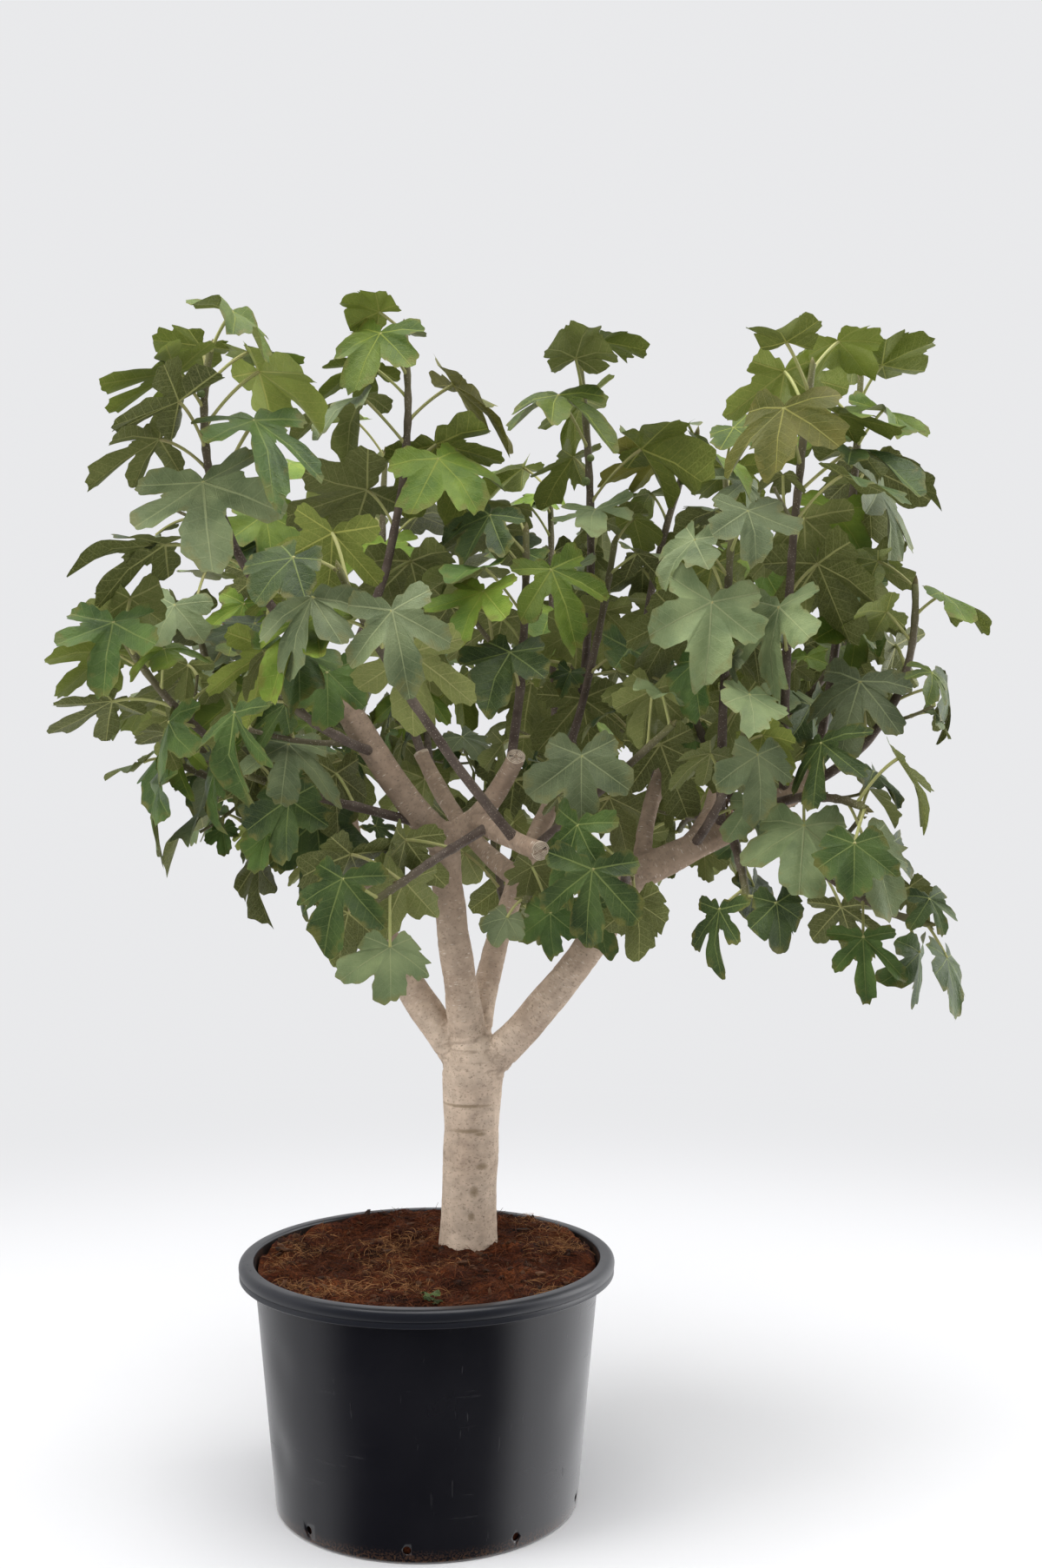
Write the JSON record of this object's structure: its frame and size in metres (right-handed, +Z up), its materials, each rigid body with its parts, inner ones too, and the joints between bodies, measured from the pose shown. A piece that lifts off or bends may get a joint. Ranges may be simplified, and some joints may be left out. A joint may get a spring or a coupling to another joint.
{
  "type": "fig tree in a pot",
  "caption": "Young fig tree with a short trunk, pruned boughs and large lobed leaves, growing in a round black plastic nursery pot filled with soil.",
  "frame": {"origin": "middle of the pot's flat underside", "axes": "+Z up the tree, +X to the right and -Y towards the viewer in the reference view"},
  "size_m": [1.9047, 1.4904, 2.4492],
  "materials": {
    "pot": "satin moulded polyethylene, scuffed",
    "soil": "loose reddish-brown coir and bark fibre",
    "bark": "smooth pale grey bark, matt",
    "foliage": "rough green leaf, satin above and matt below"
  },
  "bodies": {
    "root": {"pot": "pot", "soil": "soil", "trunk": "bark", "left_bough": "bark", "left_upper_bough": "bark", "left_rear_bough": "bark", "centre_bough": "bark", "centre_left_bough": "bark", "centre_stub": "bark", "front_stub": "bark", "rear_bough": "bark", "rear_left_bough": "bark", "right_bough": "bark", "right_outer_bough": "bark", "right_stub": "bark", "right_rear_bough": "bark", "foliage_left_tall": "foliage", "foliage_middle_tall": "foliage", "foliage_front_arching": "foliage", "foliage_left_spreading": "foliage", "foliage_left_low": "foliage", "foliage_rear_tall": "foliage", "foliage_middle_rear": "foliage", "foliage_right_rear_tall": "foliage", "foliage_right_tall": "foliage", "foliage_right_end_tall": "foliage", "foliage_right_end": "foliage", "foliage_right_drooping": "foliage", "foliage_fork_twigs": "foliage", "foliage_right_low_front": "foliage", "foliage_middle_front": "foliage", "foliage_right_front": "foliage", "foliage_right_inner": "foliage", "foliage_front_drooping": "foliage", "foliage_left_rear": "foliage", "foliage_left_front": "foliage", "foliage_centre_tall": "foliage", "foliage_right_middle": "foliage", "foliage_right_end_front": "foliage", "foliage_right_under": "foliage", "foliage_left_under": "foliage", "foliage_left_end": "foliage", "foliage_rear_left_tall": "foliage", "foliage_rear_left_end": "foliage", "foliage_rear_left_out": "foliage", "foliage_back_left_tall": "foliage", "foliage_back_left_low": "foliage", "foliage_back_tall": "foliage", "foliage_back_out": "foliage", "foliage_back_right_tall": "foliage", "foliage_back_right_out": "foliage", "foliage_back_right_end": "foliage", "foliage_back_low": "foliage", "foliage_back_right_low": "foliage"}
  },
  "joints": []
}
